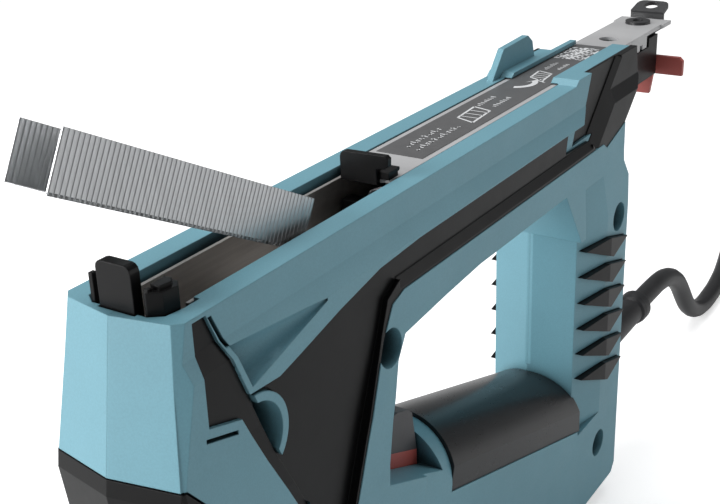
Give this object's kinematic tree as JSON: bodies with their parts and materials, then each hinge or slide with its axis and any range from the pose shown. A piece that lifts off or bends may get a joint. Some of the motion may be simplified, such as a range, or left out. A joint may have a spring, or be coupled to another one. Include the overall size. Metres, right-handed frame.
{
  "type": "electric stapler",
  "caption": "Corded electric stapler with a D handle and a pull-out magazine, lying on its back with the slide open and a strip of staples going in",
  "frame": {"origin": "centre of the tool's box on the surface it lies on, without the cord", "axes": "+X from the nose to the pull tab, +Y to the side without screw heads, +Z to the face that staples leave from"},
  "size_m": [0.5812, 0.0689, 0.1855],
  "materials": {
    "teal_shell": "fine spark-eroded moulding grain",
    "charcoal_plastic": "fine moulding grain",
    "soft_grip_rubber": "smooth soft overmould",
    "fastener_steel": "zinc plated",
    "spring_steel": "drawn wire",
    "channel_steel": "rolled sheet, bright cut edges",
    "slide_plate": "satin grey coating",
    "label_print": "printed film",
    "dark_bracket": "black coated pressed sheet",
    "red_plastic": "satin moulding",
    "staple_wire": "galvanised flat wire, glued",
    "machined_steel": "ground",
    "bobbin_plastic": "natural nylon",
    "copper_winding": "enamelled copper wire",
    "board_laminate": "solder resist",
    "component_mix": "moulded component bodies",
    "trigger_grey": "satin moulding",
    "cord_rubber": "extruded sheath",
    "pin_brass": "nickel-bright turned pin",
    "tie_fabric": "woven hook-and-loop band"
  },
  "bodies": {
    "body": {"housing_near": "teal_shell", "housing_far": "teal_shell", "head_cap": "charcoal_plastic", "side_trim_near": "charcoal_plastic", "side_trim_far": "charcoal_plastic", "head_inlay_near": "charcoal_plastic", "head_inlay_far": "charcoal_plastic", "soft_grip": "soft_grip_rubber", "grip_nubs_near": "charcoal_plastic", "grip_nubs_far": "charcoal_plastic", "housing_screws": "fastener_steel", "tip_spring": "spring_steel", "nose_guide": "charcoal_plastic", "magazine_channel": "channel_steel", "solenoid_yoke": "machined_steel", "solenoid_bobbin": "bobbin_plastic", "solenoid_coil": "copper_winding", "return_spring": "spring_steel", "bumper": "soft_grip_rubber", "circuit_board": "board_laminate", "board_parts": "component_mix", "trigger_spring": "spring_steel", "trigger_switch": "charcoal_plastic", "dial_potentiometer": "component_mix", "inner_lead": "cord_rubber", "cord_clamp": "trigger_grey", "clamp_screws": "fastener_steel", "strain_relief": "cord_rubber", "cord_lead": "cord_rubber", "cord_hank": "cord_rubber", "cord_tail": "cord_rubber", "mains_plug": "cord_rubber", "plug_pins": "pin_brass", "cord_tie": "tie_fabric"},
    "tip": {"contact_tip": "charcoal_plastic"},
    "slide": {"magazine_slide": "slide_plate", "slide_label": "label_print", "slide_tab": "charcoal_plastic", "pusher_spring": "spring_steel", "guide_rod": "fastener_steel", "end_cap": "charcoal_plastic", "pull_bracket": "dark_bracket", "bracket_rivet": "dark_bracket", "lever_pin": "fastener_steel", "lever_spring": "spring_steel"},
    "pusher": {"pusher": "charcoal_plastic"},
    "lever": {"release_lever": "red_plastic"},
    "strip": {"staple_strip": "staple_wire"},
    "driver": {"plunger": "machined_steel", "driver_blade": "machined_steel"},
    "trigger": {"trigger": "trigger_grey", "trigger_skirt": "red_plastic"},
    "dial": {"power_dial": "charcoal_plastic"}
  },
  "joints": [
    {"name": "tip_press", "type": "slide", "parent": "body", "child": "tip", "axis": [0, 0, -1], "range_m": [0, 0.0065], "stiffness_N_per_m": 150, "springref_m": -0.01, "deforming": ["tip_spring"]},
    {"name": "slide_close", "type": "slide", "parent": "body", "child": "slide", "axis": [1, 0, 0], "range_m": [-0.036, 0]},
    {"name": "pusher_feed", "type": "slide", "parent": "slide", "child": "pusher", "axis": [1, 0, 0], "range_m": [-0.0355, 0.031], "deforming": ["pusher_spring"]},
    {"name": "lever_tilt", "type": "hinge", "parent": "slide", "child": "lever", "pos_m": [0.12311, 0, 0.1446], "axis": [0, 1, 0], "range_deg": [-14, 0], "stiffness_Nm_per_rad": 0.05, "springref_deg": 17.19},
    {"name": "strip_feed", "type": "slide", "parent": "body", "child": "strip", "axis": [-0.8862, 0, 0.4633], "range_m": [0, 0.029]},
    {"name": "driver_stroke", "type": "slide", "parent": "body", "child": "driver", "axis": [0, 0, 1], "range_m": [0, 0.0175], "stiffness_N_per_m": 200, "springref_m": -0.01, "deforming": ["return_spring"]},
    {"name": "trigger_pull", "type": "slide", "parent": "body", "child": "trigger", "axis": [0, 0, -1], "range_m": [0, 0.006], "stiffness_N_per_m": 400, "springref_m": -0.006, "deforming": ["trigger_spring"]},
    {"name": "dial_turn", "type": "hinge", "parent": "body", "child": "dial", "pos_m": [-0.02229, 0, 0.0114], "axis": [0, 1, 0], "range_deg": [-135, 135]}
  ],
  "couplings": [
    {"joint": "strip_feed", "follows": "slide_close", "ratio": -0.8}
  ]
}
